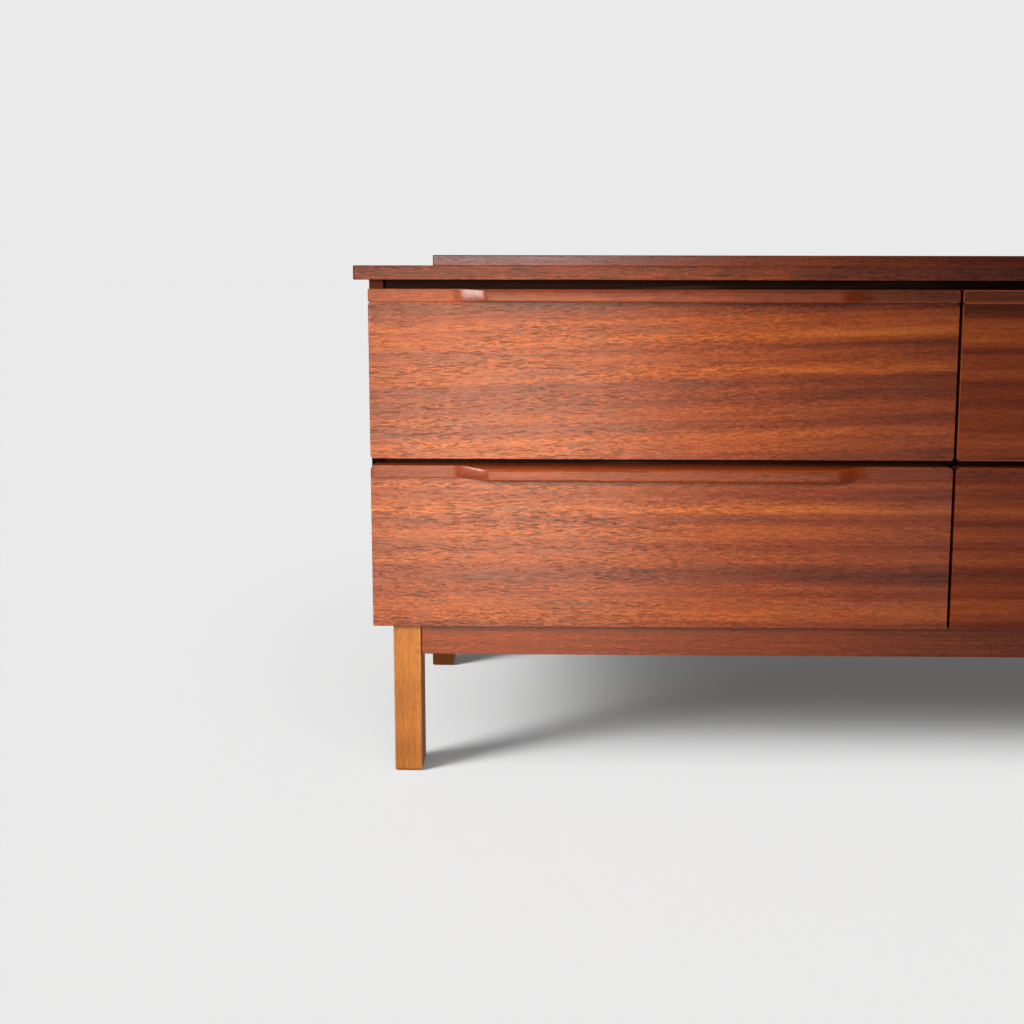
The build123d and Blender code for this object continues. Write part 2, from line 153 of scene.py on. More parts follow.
def new_material(name, kind=Graph, *given):
    """A material and the Graph of its nodes, or another kind of Graph, made from what is given."""
    material = bpy.data.materials.new(name)
    material.use_nodes = True
    return material, kind(material.node_tree, *given)


# ---- wood -----------------------------------------------------------------------------------

AXES = {"X": 0, "Y": 1, "Z": 2}

# Linear colours from the darkest growth to the brightest ribbon.
MAHOGANY = ((0.0, (0.060, 0.013, 0.008)), (0.25, (0.180, 0.029, 0.011)),
            (0.45, (0.345, 0.049, 0.010)), (0.60, (0.470, 0.076, 0.011)),
            (0.80, (0.635, 0.125, 0.015)), (1.0, (0.800, 0.200, 0.030)))
GOLDEN = ((0.0, (0.200, 0.045, 0.012)), (0.3, (0.420, 0.105, 0.020)),
          (0.55, (0.620, 0.175, 0.028)), (1.0, (0.860, 0.290, 0.055)))
PALE = ((0.0, (0.350, 0.195, 0.085)), (0.4, (0.560, 0.350, 0.175)),
        (0.7, (0.680, 0.455, 0.250)), (1.0, (0.780, 0.570, 0.340)))
BROWN = ((0.0, (0.130, 0.048, 0.020)), (0.4, (0.280, 0.115, 0.050)),
         (0.7, (0.380, 0.170, 0.080)), (1.0, (0.480, 0.235, 0.120)))
# Near black: painted shade for wood that only shows in the gaps.
GAP_SHADE = ((0.0, (0.005, 0.002, 0.001)), (0.5, (0.022, 0.007, 0.005)),
           (1.0, (0.070, 0.022, 0.015)))

# What flecks, pores, pale edges (part wear, part painted highlight) and the ends of a board
# multiply its colour by.
DIM_FLECK = (0.52, 0.47, 0.47)
BRIGHT_FLECK = (1.36, 1.52, 1.58)
PORE = (0.40, 0.35, 0.38)
WORN_AND_GLINT = (1.7, 2.1, 2.4)
END_GRAIN = (0.30, 0.26, 0.25)

RUBBED_AND_GLINT = (0.640, 0.140, 0.036)  # edges rubbed by hands, and partly a painted highlight
SMOKE = (0.17, 0.062, 0.034)    # grey-brown patches that lie over the flecks
SMOKE_DEPTH = 0.6

# The layers of noise in the wood: how fine along the fibres, across them and through the board,
# per metre, then the noise's detail and roughness.
SWAY = (1.6, 7.0, 4.0, 1.0, 0.5)
WAVER = (60.0, 120.0, 60.0, 1.0, 0.5)
BROAD = (0.9, 34.0, 30.0, 3.0, 0.55)
NARROW = (3.0, 150.0, 120.0, 3.0, 0.6)
STREAK = (11.0, 300.0, 240.0, 2.0, 0.6)
CRUMB = (120.0, 560.0, 500.0, 3.0, 0.8)
DASHES = (75.0, 800.0, 700.0, 1.0, 0.5)
BAND_STRENGTH = (1.5, 9.0, 1.0, 1.0, 0.5)
CURL = (26.0, 9.0, 12.0, 2.0, 0.5)
PATCHES = (7.0, 45.0, 40.0, 2.0, 0.5)
SMOKY = (5.0, 90.0, 80.0, 2.0, 0.5)

# Where a layer of noise starts to show, and where it shows in full.
BANDED = (0.30, 0.62)
PATCHED = (0.30, 0.65)
LIT = (0.40, 0.60)
OPEN = (0.54, 0.70)
SMOKED = (0.58, 0.74)

# How strong bands and flecks are at the two ends of that, and at the two places in fade.
BAND_FORCE = (0.6, 1.15)
FLECK_FORCE = (0.55, 1.0)
FADED_BANDS = (0.85, 1.45)
FADED_FLECKS = (1.0, 0.50)

# How far the surface has turned, as a part of its normal, where it starts to count as the end
# or the front of a board, and where it counts in full.
AT_END = (0.75, 0.95)
AT_FRONT = (-0.5, -0.8)

# How much pores, the ends of a board and painted shade add to its roughness.
PORE_DULL, END_DULL, SHADE_DULL = 0.10, 0.35, 0.5

# How far the layers shift the tone, next to 1 for the whole range of colours.
BROAD_SHARE, NARROW_SHARE = 1.5, 0.9    # both times the board's ribbon
STREAK_SIZE = 0.34

SEED_STEPS = (3.7, 1.3)         # how far boards lie apart in the noise, along and through
WAVER_SIZE = 0.0030
EYE_SIZE = (55.0, 90.0)         # one over the eye's half length and half height
EYE_BEND = -0.011               # how far the grain bows out around the eye
RAGGED = 0.0024                 # how much the pale edge's width varies
WORN_AND_GLINT_FROM, WORN_AND_GLINT_FULLY = 0.0018, 0.0005
IOR = 1.46
COAT_ROUGHNESS = 0.28
BUMP = {"Strength": 0.35, "Distance": 0.0004}
STREAK_RIDGE = 0.6              # how high a streak stands next to a crumb


class Board(Graph):
    """The nodes of one board's material, which share its directions, its box and its seed."""

    def __init__(self, tree, box, seed, along, across):
        super().__init__(tree)
        self.low, self.high = box
        self.along, self.across = AXES[along], AXES[across]
        through = ({0, 1, 2} - {self.along, self.across}).pop()
        coordinates = self.node("ShaderNodeTexCoord").outputs
        self.place = self.node("ShaderNodeSeparateXYZ", {0: coordinates["Object"]}).outputs
        self.facing = self.node("ShaderNodeSeparateXYZ", {0: coordinates["Normal"]}).outputs
        self.length_wise = self.place[self.along]
        self.height_wise = self.place[self.across]
        self.u = self.add(self.length_wise, SEED_STEPS[0] * seed)
        self.w = self.add(self.place[through], SEED_STEPS[1] * seed)

    def grain(self, layer, at):
        """One layer of noise, at the height that at gives."""
        per_u, per_v, per_w, detail, rough = layer
        scaled = self.vector(self.times(self.u, per_u), self.times(at, per_v),
                             self.times(self.w, per_w))
        return self.noise(scaled, detail, rough)

    def swayed(self, sway, slope, eye):
        """The height as the fibres see it: they lean, sway over long stretches and round the eye."""
        middle = (self.low[self.along] + self.high[self.along]) / 2
        leaning = self.times(self.add(self.length_wise, -middle), slope)
        swaying = self.spread(self.grain(SWAY, self.height_wise), sway)
        height = self.total(self.height_wise, swaying, leaning)
        if not eye:
            return height
        above = self.times(self.add(self.height_wise, -eye[1]), EYE_SIZE[1])
        beside = self.times(self.add(self.length_wise, -eye[0]), EYE_SIZE[0])
        reach = self.add(self.times(above, above), self.times(beside, beside))
        bulge = self.math("EXPONENT", self.times(reach, -1.0))
        return self.add(height, self.times(self.times(bulge, above), EYE_BEND))

    def own_ribbons(self, fibre, bands, fade):
        """How far a face's own ribbons shift its tone."""
        height = self.high[self.across] - self.low[self.across]
        down = self.scaled(fibre, -1.0 / height, self.high[self.across] / height)
        strength = self.step(self.grain(BAND_STRENGTH, self.height_wise), *BANDED, *BAND_FORCE)
        if fade:
            strength = self.times(strength, self.step(self.length_wise, *fade, *FADED_BANDS))
        return self.times(self.add(self.ramp(down, bands), -0.5), strength)

    def fleck_force(self, fibre, fleck, fade):
        """How strongly flecks and pores show, which differs from patch to patch."""
        faint, strong = (by * fleck for by in FLECK_FORCE)
        force = self.step(self.grain(PATCHES, fibre), *PATCHED, faint, strong)
        if fade:
            force = self.times(force, self.step(self.length_wise, *fade, *FADED_FLECKS))
        return force

    def flecked(self, colour, fibre, crumb, pore, force):
        """The colour with flecks of light and dark, open pores, and smoky patches over them."""
        flecks = self.mix(self.step(crumb, *LIT), self.tinted(colour, DIM_FLECK),
                          self.tinted(colour, BRIGHT_FLECK))
        colour = self.mix(force, colour, flecks)
        colour = self.mix(pore, colour, self.tinted(colour, PORE))
        smoke = self.times(self.step(self.grain(SMOKY, fibre), *SMOKED), SMOKE_DEPTH)
        return self.mix(self.times(smoke, force), colour, SMOKE)

    def edge_distance(self):
        """How far a point on the board's surface is from the nearest edge of the board."""
        gaps = []
        for axis in range(3):
            centre = (self.low[axis] + self.high[axis]) / 2
            half = (self.high[axis] - self.low[axis]) / 2
            offset = self.math("ABSOLUTE", self.add(self.place[axis], -centre))
            gaps.append(self.math("SUBTRACT", half, offset))
        a, b, c = gaps
        # One gap is always about nothing, so the middle one of the three is the distance wanted.
        smaller, larger = self.math("MINIMUM", a, b), self.math("MAXIMUM", a, b)
        return self.math("MAXIMUM", smaller, self.math("MINIMUM", larger, c))

    def shade_mask(self, where, depth):
        """How much painted shade the front of the board gets, between four places along it."""
        start, full, still_full, end = where
        between = self.times(self.step(self.length_wise, start, full, 0.0, depth),
                             self.step(self.length_wise, end, still_full))
        return self.times(between, self.step(self.facing["Y"], *AT_FRONT))


def wood(name, colours, box, seed, along="X", across="Z", bands=None, level=0.5, ribbon=0.5,
         fleck=0.55, slope=0.0, sway=0.010, wear_and_glint=0.3, rubbed_and_glint=None, roughness=(0.30, 0.40),
         coat=0.2, shine=0.5, eye=None, curl=0.0, fade=None, painted_shade=()):
    """Wood as a solid: long fibres along one axis, with ribbons, flecks, pores and pale edges that
    are part real rubbing and part painted highlight.

    bands are (share of the height down from the top, tone) and give a face its own ribbons.
    eye is the place on a face that the grain runs round. curl crosses the grain with ripples.
    The flecks grow faint and the bands strong along the board between the two places in fade.
    Edges take the colour in rubbed, part real rubbing and part painted highlight.
    Each entry of grime is painted shade on the front of the board: where it lies,
    how deep it is, and its colour.
    """
    material, g = new_material(name, Board, box, seed, along, across)
    fibre = g.swayed(sway, slope, eye)
    wavering = g.add(fibre, g.spread(g.grain(WAVER, g.height_wise), WAVER_SIZE))
    narrow = g.grain(NARROW, fibre)
    streak = g.grain(STREAK, wavering)
    crumb = g.grain(CRUMB, wavering)

    tone = g.total(g.spread(g.grain(BROAD, fibre), BROAD_SHARE * ribbon, level),
                   g.spread(narrow, NARROW_SHARE * ribbon),
                   g.spread(streak, STREAK_SIZE))
    if bands:
        tone = g.add(tone, g.own_ribbons(fibre, bands, fade))
    if curl:
        tone = g.add(tone, g.spread(g.grain(CURL, g.height_wise), curl))
    colour = g.ramp(tone, colours, "LINEAR")

    force = g.fleck_force(fibre, fleck, fade)
    pore = g.times(g.step(g.grain(DASHES, wavering), *OPEN), force)
    colour = g.flecked(colour, fibre, crumb, pore, force)
    # Pale edges: part wear, part painted highlight on the arrises.
    ragged = g.add(g.edge_distance(), g.spread(narrow, RAGGED))
    worn_and_glint = g.step(ragged, WORN_AND_GLINT_FROM, WORN_AND_GLINT_FULLY, 0.0, wear_and_glint)
    colour = g.mix(worn_and_glint, colour, rubbed_and_glint or g.tinted(colour, WORN_AND_GLINT))

    # Across the ends of the board the open fibres are dark and dull.
    on_end = g.step(g.math("ABSOLUTE", g.facing[g.along]), *AT_END)
    colour = g.mix(on_end, colour, g.tinted(colour, END_GRAIN))
    smooth, rough = roughness
    polish = g.total(g.spread(crumb, 2 * (rough - smooth), (smooth + rough) / 2),
                     g.times(pore, PORE_DULL),
                     g.times(on_end, END_DULL))
    # Painted shade: each entry darkens the front of the board and makes it duller.
    for where, depth, shade_colour in painted_shade:
        shade_mask = g.shade_mask(where, depth)
        colour = g.mix(shade_mask, colour, shade_colour)
        polish = g.add(polish, g.times(shade_mask, SHADE_DULL))

    height = g.total(g.times(pore, -1.0), crumb, g.times(streak, STREAK_RIDGE))
    bump = g.node("ShaderNodeBump", {**BUMP, "Height": height})
    g.finish(g.node("ShaderNodeBsdfPrincipled", {
        "Base Color": colour, "Roughness": polish, "Normal": bump.outputs[0],
        "Specular IOR Level": shine, "IOR": IOR, "Coat Roughness": COAT_ROUGHNESS,
        "Coat Weight": g.scaled(on_end, -coat, coat) if coat else 0.0}))
    return material


STEEL = ((0.3, (0.30, 0.27, 0.23)), (0.6, (0.52, 0.49, 0.44)), (0.9, (0.66, 0.63, 0.58)))
STEEL_GRAIN, STEEL_SPOTS = 900.0, 210.0     # per metre
SPOTTED = 0.6                               # the spots' share of the colour
STEEL_ROUGHNESS = (0.26, 0.46)
STEEL_BUMP = {"Strength": 0.2, "Distance": 0.0002}


def steel(name):
    """Dull, slightly spotted screws."""
    material, g = new_material(name)
    place = g.node("ShaderNodeTexCoord").outputs["Object"]
    grain = g.noise(g.stretched(place, STEEL_GRAIN), 3.0, 0.6)
    spots = g.noise(g.stretched(place, STEEL_SPOTS), 2.0)
    colour = g.ramp(g.add(g.times(grain, 1 - SPOTTED), g.times(spots, SPOTTED)), STEEL)
    smooth, rough = STEEL_ROUGHNESS
    bump = g.node("ShaderNodeBump", {**STEEL_BUMP, "Height": grain})
    g.finish(g.node("ShaderNodeBsdfPrincipled", {
        "Base Color": colour, "Metallic": 1.0, "Roughness": g.scaled(grain, rough - smooth, smooth),
        "Normal": bump.outputs[0]}))
    return material


# ---- the CAD pieces' finishes ---------------------------------------------------------------

# Ribbons of the matched veneers: share of the face's height from its top, and tone. The dark
# tones at the very top are partly painted shadow from the lip above.
BANDS = {
    "upper": ((0.0, 0.24), (0.045, 0.26), (0.076, 0.34), (0.108, 0.52), (0.153, 0.58),
              (0.197, 0.66), (0.229, 0.70), (0.261, 0.52), (0.299, 0.36), (0.338, 0.50),
              (0.401, 0.52), (0.459, 0.62), (0.51, 0.40), (0.567, 0.49), (0.63, 0.40),
              (0.707, 0.50), (0.783, 0.42), (0.86, 0.60), (0.911, 0.52), (0.949, 0.56),
              (0.987, 0.40)),
    "lower": ((0.0, 0.40), (0.049, 0.58), (0.083, 0.46), (0.118, 0.42), (0.167, 0.56),
              (0.215, 0.66), (0.25, 0.52), (0.285, 0.40), (0.326, 0.54), (0.368, 0.60),
              (0.41, 0.52), (0.458, 0.42), (0.514, 0.55), (0.549, 0.56), (0.583, 0.42),
              (0.625, 0.34), (0.667, 0.36), (0.722, 0.52), (0.771, 0.44), (0.833, 0.62),
              (0.889, 0.64), (0.931, 0.56), (0.972, 0.44), (1.0, 0.40)),
}

LOWER_ROW_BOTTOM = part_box("lower_left_drawer_face")[0].z
LOWER_ROW_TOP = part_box("lower_left_drawer_pull_rail")[1].z
UPPER_ROW_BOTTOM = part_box("upper_left_drawer_face")[0].z
UPPER_ROW_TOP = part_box("upper_left_drawer_pull_rail")[1].z
SLAB_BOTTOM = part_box("top_panel")[0].z
LEG_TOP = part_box("front_left_leg")[1].z

# Painted shade, black or brown, where shade falls between the rows, under the slab and at the
# leg tops, as (heights where it starts, is full, is still full and ends), depth, colour.
BLACK_SHADE, BROWN_SHADE = (0.006, 0.003, 0.002), (0.050, 0.016, 0.010)
BETWEEN_ROWS = ((LOWER_ROW_TOP - 0.008, LOWER_ROW_TOP - 0.004,
                 UPPER_ROW_BOTTOM + 0.004, UPPER_ROW_BOTTOM + 0.008), 1.0, BLACK_SHADE)
UNDER_SLAB = ((UPPER_ROW_TOP - 0.008, UPPER_ROW_TOP + 0.002,
               SLAB_BOTTOM + 0.001, SLAB_BOTTOM + 0.007), 0.85, BROWN_SHADE)
ABOVE_LEG = ((LOWER_ROW_BOTTOM - 0.006, LOWER_ROW_BOTTOM - 0.001,
              LEG_TOP + 0.010, LEG_TOP + 0.015), 0.85, BLACK_SHADE)

# How wood() makes each kind of piece. Faces are the same but for their row and side, and the
# upper right drawer's edges are the palest: rubbed most by hands, and with a painted highlight.
FACE = dict(ribbon=0.24, roughness=(0.20, 0.34))
FACE_ON_SIDE = {"left": dict(fleck=1.0, fade=(-0.55, -0.05)), "right": dict(fleck=0.35)}
RUBBED_AND_GLINT_EDGES = dict(wear_and_glint=0.8, rubbed_and_glint=RUBBED_AND_GLINT)
EYE = (-0.103, 0.583)           # x and height
OWN_FIGURE = {"upper_left": dict(slope=-0.033, eye=EYE), "upper_right": RUBBED_AND_GLINT_EDGES}
# Side panels carry painted shade on their front edges between the rows and under the slab.
SIDE_PANEL = dict(along="Z", across="Y", level=0.46, ribbon=0.4, coat=0.0,
                  painted_shade=(BETWEEN_ROWS, UNDER_SLAB))
END_BASE_RAIL = dict(along="Y", level=0.40, ribbon=0.4)
SHOWN = {                       # mahogany outside the faces
    "top_panel": dict(level=0.26, ribbon=0.35, curl=0.20, fleck=1.0, roughness=(0.28, 0.40),
                      coat=0.15),
    "back_gallery": dict(level=0.35, ribbon=0.4, fleck=0.9, roughness=(0.28, 0.36), coat=0.3),
    "front_base_rail": dict(level=0.40, ribbon=0.3),
    "rear_base_rail": dict(level=0.40, ribbon=0.4),
    "left_side_panel": SIDE_PANEL,
    "right_side_panel": SIDE_PANEL,
    "left_base_rail": END_BASE_RAIL,
    "right_base_rail": END_BASE_RAIL,
}
# Legs carry painted shade at their tops, just under the case.
LEG = dict(along="Z", across="X", level=0.55, ribbon=0.3, fleck=0.35, roughness=(0.40, 0.52),
           wear_and_glint=0.45, coat=0.1, curl=0.30, painted_shade=(ABOVE_LEG,))
PLYWOOD = dict(along="X", across="Y", level=0.55, ribbon=0.35, wear_and_glint=0.1, roughness=(0.55, 0.68),
               coat=0.0)

# Wood that only shows in the gaps between the drawers is painted near black, as painted shade
# for the gaps. Pale wood is for what an open drawer shows, and brown wood for the rest of what
# is hidden.
IN_THE_GAPS = ("front_top_rail", "left_row_rail", "right_row_rail", "centre_partition")
GAP = dict(ribbon=0.4, fleck=0.3, wear_and_glint=0.0, roughness=(0.5, 0.62), coat=0.0, shine=0.1)
HIDDEN = dict(level=0.55, ribbon=0.35, fleck=0.3, wear_and_glint=0.2, roughness=(0.5, 0.62), coat=0.0)
PALE_PARTS = ("drawer", "runner", "kicker")


def longest(box, axes):
    return max(axes, key=lambda axis: box[1][AXES[axis]] - box[0][AXES[axis]])


def finish_for(name, seed):
    """The material that a CAD piece gets."""
    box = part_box(name)
    if name.endswith("drawer_face"):
        row, side = name.split("_")[:2]
        return wood(name, MAHOGANY, box, seed, bands=BANDS[row], **FACE, **FACE_ON_SIDE[side],
                    **OWN_FIGURE.get(f"{row}_{side}", {}))
    if name in SHOWN:
        return wood(name, MAHOGANY, box, seed, **SHOWN[name])
    if name.endswith("_leg"):
        return wood(name, GOLDEN, box, seed, **LEG)
    if name.endswith("screws"):
        return steel(name)
    colours = PALE if any(part in name for part in PALE_PARTS) else BROWN
    if name == "back_panel" or name.endswith("drawer_bottom"):
        return wood(name, colours, box, seed, **PLYWOOD)
    along = longest(box, "XYZ")
    across = longest(box, [axis for axis in "XYZ" if axis != along])
    if name in IN_THE_GAPS:
        return wood(name, GAP_SHADE, box, seed, along, across, **GAP)
    return wood(name, colours, box, seed, along, across, **HIDDEN)


def dress(name, material):
    for slot in nodes[name].material_slots:
        slot.link = "OBJECT"
        slot.material = material


for seed, name in enumerate(sorted(nodes), start=1):
    if not name.endswith("pull_rail"):
        dress(name, finish_for(name, seed))


# ---- the pull rails -------------------------------------------------------------------------

LIP_HALF_LENGTH = 0.288         # from the middle to where the lip's curve starts, at its top
LIP_CURVE = 0.058               # length of the S-curve at each end
LIP_LATE = 1.4                  # above 1, the lip rises slowly and turns in late
LIP_SLANT = 0.003               # how much sooner the lip ends at its lower edge
STRIP_PROUD = 0.0005            # how far the strip stands in front of the face
STRIP_EDGE = 0.0007             # rounding of the strip's front edges
END_CORNERS = {"upper": 0.0020, "lower": 0.0060}    # rounding of the strip's top corners
CORNER_INSET = 0.15             # how far a corner draws back, as a share of its drop
LIP_EDGE = 0.0028               # rounding of the lip's front edges
LIP_CROWN = 0.0005              # how far the lip's front stands out between its edges
SHARP_ANGLE = math.radians(40)

# Steps of the mesh: in the lip's flat half, its curve, the strip beyond it, the rounded corner,
# and up the rail's front.
FLAT_STEPS, CURVE_STEPS, STRIP_STEPS, CORNER_STEPS, FRONT_STEPS = 8, 44, 4, 8, 18

# How wood() makes the rails, whose seeds lie beyond those of the CAD pieces.
PULL = dict(ribbon=0.30, sway=0.022, fleck=0.60, wear_and_glint=0.5, coat=0.25)
PULL_LEVELS = {"upper": 0.33, "lower": 0.41}
PULL_SEED = 101


def eased(share):
    """Goes from 0 to 1 as share does, slowly at both ends."""
    return 0.5 - 0.5 * math.cos(math.pi * share)


def quarter_round(depth, radius):
    """How far a rounded edge lies back at a depth from its corner, 0 from radius on."""
    turned = max(0.0, 1 - depth / radius)
    return radius * (1 - math.sqrt(max(0.0, 1 - turned * turned)))


def lip_share(x, height):
    """How far the lip has swelled at x from its middle, from 0 to 1. height is 0 at its bottom."""
    half = LIP_HALF_LENGTH - LIP_SLANT * (1 - height) ** 2
    along = min(max((half - abs(x)) / LIP_CURVE, 0.0), 1.0)
    return eased(along ** LIP_LATE)


def stations(high, corner):
    """Places along the rail, close together where the lip curves and at the rounded corners."""
    reach = LIP_CURVE + LIP_SLANT
    flat_end = LIP_HALF_LENGTH - reach
    beyond = high - corner - LIP_HALF_LENGTH
    half = [flat_end * i / FLAT_STEPS for i in range(FLAT_STEPS)]
    half += [flat_end + reach * i / CURVE_STEPS for i in range(CURVE_STEPS + 1)]
    half += [LIP_HALF_LENGTH + beyond * i / STRIP_STEPS for i in range(1, STRIP_STEPS)]
    half += [high - corner * (1 - math.sin(math.pi / 2 * i / CORNER_STEPS))
             for i in range(CORNER_STEPS + 1)]
    return [-x for x in reversed(half[1:])] + half


def rail_mesh(name, low, high, strip_front, corner):
    """A closed tube of rings across the rail, each from its back edge down, forward and up."""
    centre, half_width = (low.x + high.x) / 2, (high.x - low.x) / 2
    reach = strip_front - low.y
    shares = [eased(i / FRONT_STEPS) for i in range(FRONT_STEPS + 1)]
    vertices, faces, rings = [], [], []
    for x in stations(half_width, corner):
        drop = quarter_round(half_width - abs(x), corner)
        rail_height = high.z - drop - low.z
        ring = [(high.y, low.z)]
        for share in shares:
            swell = lip_share(x, share)
            edge = STRIP_EDGE + (LIP_EDGE - STRIP_EDGE) * swell
            rounding = quarter_round(min(share, 1 - share) * rail_height, edge)
            crown = LIP_CROWN * swell * (2 * share - 1) ** 2
            front = strip_front - reach * swell + rounding + crown + CORNER_INSET * drop
            ring.append((front, low.z + rail_height * share))
        ring.append((high.y, high.z - drop))
        rings.append(len(vertices))
        vertices += [(centre + x, y, z) for y, z in ring]
    count = len(ring)
    for a, b in zip(rings, rings[1:]):
        for i in range(count):
            j = (i + 1) % count
            faces.append((a + i, b + i, b + j, a + j))
    faces.append(tuple(rings[0] + i for i in range(count)))
    faces.append(tuple(rings[-1] + i for i in reversed(range(count))))

    mesh = bpy.data.meshes.new(name)
    mesh.from_pydata(vertices, [], faces)
    mesh.validate()
    mesh.shade_smooth()
    mesh.set_sharp_from_angle(angle=SHARP_ANGLE)
    return mesh


def pull_rail(node, body, seed):
    """The solid rail on top of a drawer face, its middle swelling into a lip with soft ends."""
    row, side = body.split("_")[:2]
    low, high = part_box(node)
    strip_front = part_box(node.replace("pull_rail", "face"))[0].y - STRIP_PROUD
    mesh = rail_mesh(f"{body}_pull", low, high, strip_front, END_CORNERS[row])
    rail = bpy.data.objects.new(f"{body}_pull", mesh)
    bpy.context.scene.collection.objects.link(rail)
    edges = RUBBED_AND_GLINT_EDGES if (row, side) == ("upper", "right") else {}
    strip = (Vector((low.x, strip_front, low.z)), high)
    mesh.materials.append(wood(f"{body}_pull", MAHOGANY, strip, seed, level=PULL_LEVELS[row],
                               **{**PULL, **edges}))
    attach(rail, body)
    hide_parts(node)


DRAWERS = ("upper_left", "upper_right", "lower_left", "lower_right")
for seed, drawer in enumerate(DRAWERS, start=PULL_SEED):
    pull_rail(f"{drawer}_drawer_pull_rail", f"{drawer}_drawer", seed)


# ---- the studio -----------------------------------------------------------------------------

BACKDROP = 0.823                # linear grey of the floor and of everything behind it
ROOM = 0.15                     # what comes from all round
DARK_SIDE = 0.03                # what varnish mirrors of the room in front of the backdrop
PALE_SIDE = 0.22                # and of the backdrop behind the dresser
SIDES_MEET = (-0.1, 0.7)        # directions, as Y, between which the one turns into the other
PAPER = 0.25                    # the floor's own reflectance, low so that it doesn't pick up red
PAPER_GLOW = 0.10
FLOOR_REACH = 40.0              # from the middle to each side


def make_world():
    """An even grey to the camera, a dim room to the dresser, and a half dark one to its varnish."""
    world = bpy.data.worlds.new("studio")
    bpy.context.scene.world = world
    world.use_nodes = True
    g = Graph(world.node_tree)
    rays = g.node("ShaderNodeLightPath").outputs
    way = g.node("ShaderNodeTexCoord").outputs["Generated"]
    towards_back = g.node("ShaderNodeSeparateXYZ", {0: way}).outputs["Y"]

    def grey(strength):
        return g.node("ShaderNodeBackground", {0: (*WHITE, 1.0), 1: strength}).outputs[0]

    def either(fact, without, with_it):
        return g.node("ShaderNodeMixShader", {0: fact, 1: without, 2: with_it}).outputs[0]

    mirrored = g.step(towards_back, *SIDES_MEET, DARK_SIDE, PALE_SIDE)
    felt = either(rays["Is Glossy Ray"], grey(ROOM), grey(mirrored))
    seen = either(rays["Is Camera Ray"], felt, grey(BACKDROP))
    g.tree.links.new(seen, g.node("ShaderNodeOutputWorld").inputs[0])


def make_floor():
    """A wide sheet of paper that glows a little, and that the dresser doesn't see."""
    mesh = bpy.data.meshes.new("floor")
    mesh.from_pydata([(x, y, 0) for x, y in ((-1, -1), (1, -1), (1, 1), (-1, 1))], [],
                     [(0, 1, 2, 3)])
    made = bpy.data.objects.new("floor", mesh)
    made.scale = (FLOOR_REACH, FLOOR_REACH, 1.0)
    bpy.context.scene.collection.objects.link(made)
    paper, g = new_material("floor_paper")
    diffuse = g.node("ShaderNodeBsdfDiffuse", {0: (PAPER, PAPER, PAPER, 1.0)})
    glow = g.node("ShaderNodeEmission", {0: (*WHITE, 1.0), 1: PAPER_GLOW})
    g.finish(g.node("ShaderNodeAddShader", {0: diffuse.outputs[0], 1: glow.outputs[0]}))
    mesh.materials.append(paper)
    made.visible_diffuse = made.visible_glossy = made.visible_shadow = False
    return made


make_world()
floor = make_floor()
floor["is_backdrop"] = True


def group(name, chosen):
    """A collection of what a light shines on."""
    made = bpy.data.collections.new(name)
    for o in chosen:
        made.objects.link(o)
    return made


def pieces_but(*names):
    left_out = [nodes[name] for name in names]
    return [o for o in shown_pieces() if o not in left_out]


REAR_LEGS = ("rear_left_leg", "rear_right_leg")
CLEAR_OF_HAZE = ("left_side_panel", "right_side_panel", "back_gallery")
on_floor = group("on_floor", [floor])
on_dresser = group("on_dresser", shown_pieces())
on_pulls = group("on_pulls", [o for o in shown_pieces() if "left_drawer_pull" in o.name])
on_gallery = group("on_gallery", [nodes["back_gallery"]])
on_front = group("on_front", pieces_but(*REAR_LEGS))
in_haze = group("in_haze", [o for o in pieces_but(*REAR_LEGS, *CLEAR_OF_HAZE)
                            if "right_drawer" not in o.name])


def lamp(kind, name, place, target, receivers, colour=WHITE, **settings):
    """A light at place that points at target and lights only the receivers."""
    data = bpy.data.lights.new(name, kind)
    for key, value in settings.items():
        setattr(data, key, value)
    data.color = colour
    made = bpy.data.objects.new(name, data)
    bpy.context.scene.collection.objects.link(made)
    made.location = place
    made.rotation_mode = "QUATERNION"
    made.rotation_quaternion = (Vector(target) - Vector(place)).to_track_quat("-Z", "Y")
    made.light_linking.receiver_collection = receivers
    return made


def softbox(name, place, target, size, radiance, receivers, colour=WHITE):
    width, height = size
    return lamp("AREA", name, place, target, receivers, colour, shape="RECTANGLE", size=width,
                size_y=height, energy=radiance * math.pi * width * height)


def fill(name, place, target, size, radiance, colour=WHITE):
    """Soft light on the whole dresser that the varnish doesn't mirror."""
    made = softbox(name, place, target, size, radiance, on_dresser, colour)
    made.visible_glossy = False


def card(name, place, target, size, radiance, receivers, colour=WHITE):
    """A bright card that only the varnish of the receivers mirrors."""
    made = softbox(name, place, target, size, radiance, receivers, colour)
    made.visible_diffuse = False


# The floor's light: a tall narrow source to the left and in front, as overlapping discs one
# above the other, and a weak one from the front. Shares are of the light on the floor.
FLOOR_SUNS = (                  # azimuth from the left towards the front, elevation, share, width
    (29, 20, 0.11, 18), (29, 25, 0.17, 19), (29, 30, 0.18, 21), (29, 38, 0.18, 23),
    (29, 48, 0.12, 25), (29, 62, 0.09, 27), (100, 55, 0.15, 50),
)
SUN_DISTANCE = 5
floor_light = (BACKDROP - PAPER_GLOW) / PAPER - ROOM
for azimuth, elevation, share, width in FLOOR_SUNS:
    turn, rise = math.radians(azimuth), math.radians(elevation)
    towards = Vector((-math.cos(turn) * math.cos(rise), -math.sin(turn) * math.cos(rise),
                      math.sin(rise)))
    lamp("SUN", f"floor_sun_{azimuth}_{elevation}", towards * SUN_DISTANCE, (0, 0, 0), on_floor,
         energy=math.pi * floor_light * share / math.sin(rise), angle=math.radians(width))

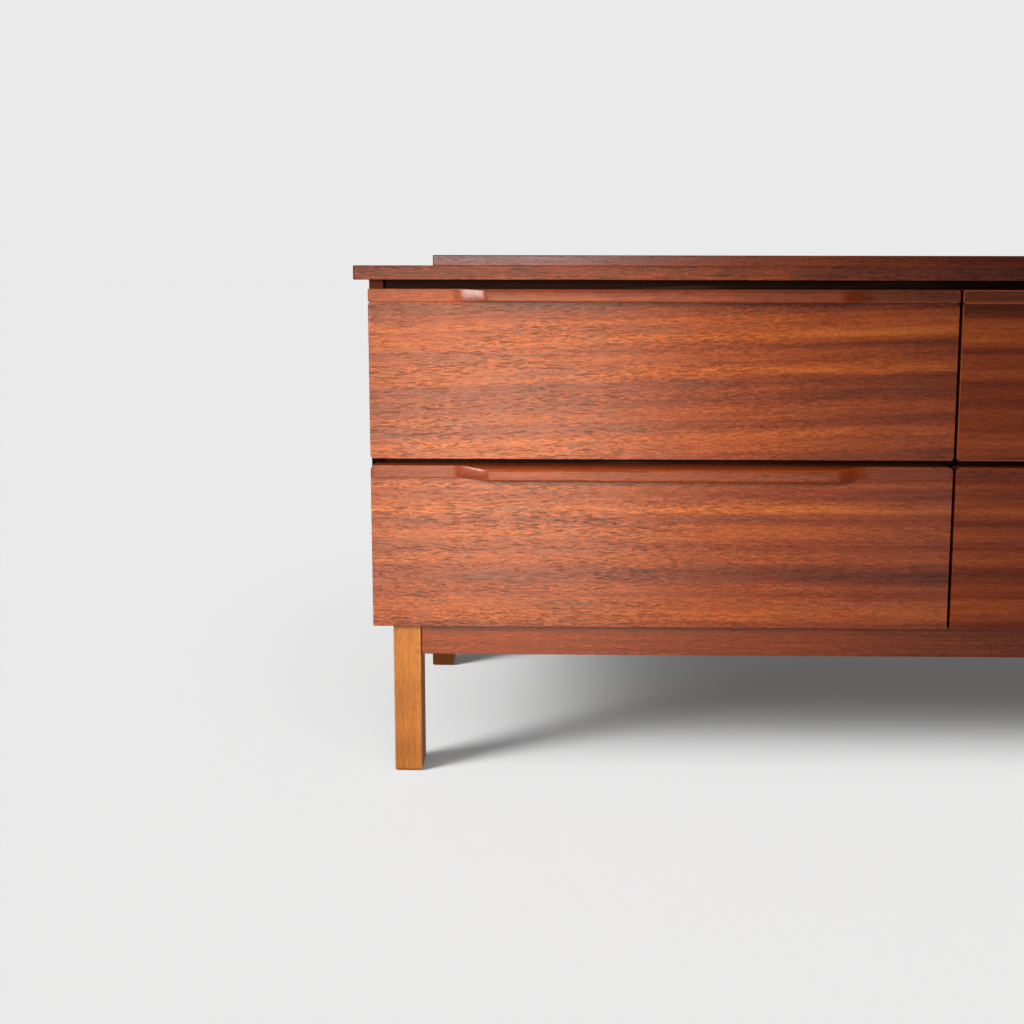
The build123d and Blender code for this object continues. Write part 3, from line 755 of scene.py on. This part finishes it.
# The dresser's light: a window's worth on the left half, weak light from elsewhere, and cards
# that give the left half its haze and the left lips their glints.
DAY = (1.0, 0.93, 0.84)
WARM = (1.0, 0.72, 0.48)        # light that comes back from warm walls
WINDOW_COLOUR = (1.0, 1.17, 1.06)
HAZE_COLOUR = (0.96, 1.0, 0.80)
WINDOW_STRETCH = (1.0, 1.6, 1.0)
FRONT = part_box("upper_left_drawer_face")[0].y

window = lamp("SPOT", "window", (-1.00, -1.55, 0.85), (-0.58, FRONT, 0.40), on_front,
              WINDOW_COLOUR, energy=101.0, spot_size=math.radians(45), spot_blend=1.0,
              shadow_soft_size=0.22)
window.scale = WINDOW_STRETCH
window.visible_glossy = False

# Each is given its place, its target, its width and height, and its strength.
fill("front_fill", (0.6, -3.2, 1.0), (0.1, -0.2, 0.4), (2.2, 1.6), 0.80, WARM)
fill("low_fill", (0.30, -1.25, 0.10), (0.10, FRONT, 0.22), (1.0, 0.5), 1.15)
fill("right_fill", (2.8, -0.8, 1.3), (0.8, 0.0, 0.4), (1.6, 1.6), 0.8, WARM)
fill("left_fill", (-2.8, 0.5, 1.2), (-0.8, 0.1, 0.4), (1.4, 1.4), 1.2)
fill("back_fill", (0.6, 3.4, 1.5), (0.0, 0.26, 0.4), (2.4, 1.6), 1.7)
fill("top_fill", (-0.3, 0.1, 2.8), (0.0, 0.0, 0.7), (1.6, 1.2), 1.4, DAY)
card("haze_card", (-0.80, -2.30, 0.15), (-0.72, FRONT, 0.15), (0.9, 1.1), 5.3, in_haze, HAZE_COLOUR)
card("gallery_card", (-0.85, -2.30, 0.72), (-0.80, FRONT, 0.72), (1.0, 0.9), 13.0, on_gallery)
card("side_card", (-2.20, -0.35, 0.85), (-0.65, -0.25, 0.60), (1.5, 1.0), 13.0, on_pulls)
card("floor_card", (-0.25, -1.40, 0.05), (-0.25, FRONT, 0.33), (1.8, 0.5), 0.30, in_haze)


# ---- the camera -----------------------------------------------------------------------------

CAMERA_PLACE = (-0.5135, -1.7645, 0.7082)
SENSOR_MM, LENS_MM = 36.0, 40.29
PITCH_DOWN = 6.6
ROLL = -0.11
YAW_LEFT = 0.78
SHIFT = (-0.045, -0.109)        # the photograph is a crop from the lower right of a wider view
NEAREST, FARTHEST = 0.05, 200.0


def rotation(degrees, axis):
    return Matrix.Rotation(math.radians(degrees), 4, axis)


camera_data = bpy.data.cameras.new("camera")
camera_data.sensor_width = SENSOR_MM
camera_data.lens = LENS_MM
camera_data.shift_x, camera_data.shift_y = SHIFT
camera_data.clip_start, camera_data.clip_end = NEAREST, FARTHEST
camera = bpy.data.objects.new("camera", camera_data)
bpy.context.scene.collection.objects.link(camera)
aim = rotation(YAW_LEFT, "Z") @ rotation(90 - PITCH_DOWN, "X") @ rotation(-ROLL, "Z")
camera.matrix_world = Matrix.Translation(CAMERA_PLACE) @ aim
bpy.context.scene.camera = camera
bpy.context.scene.view_settings.view_transform = "Standard"
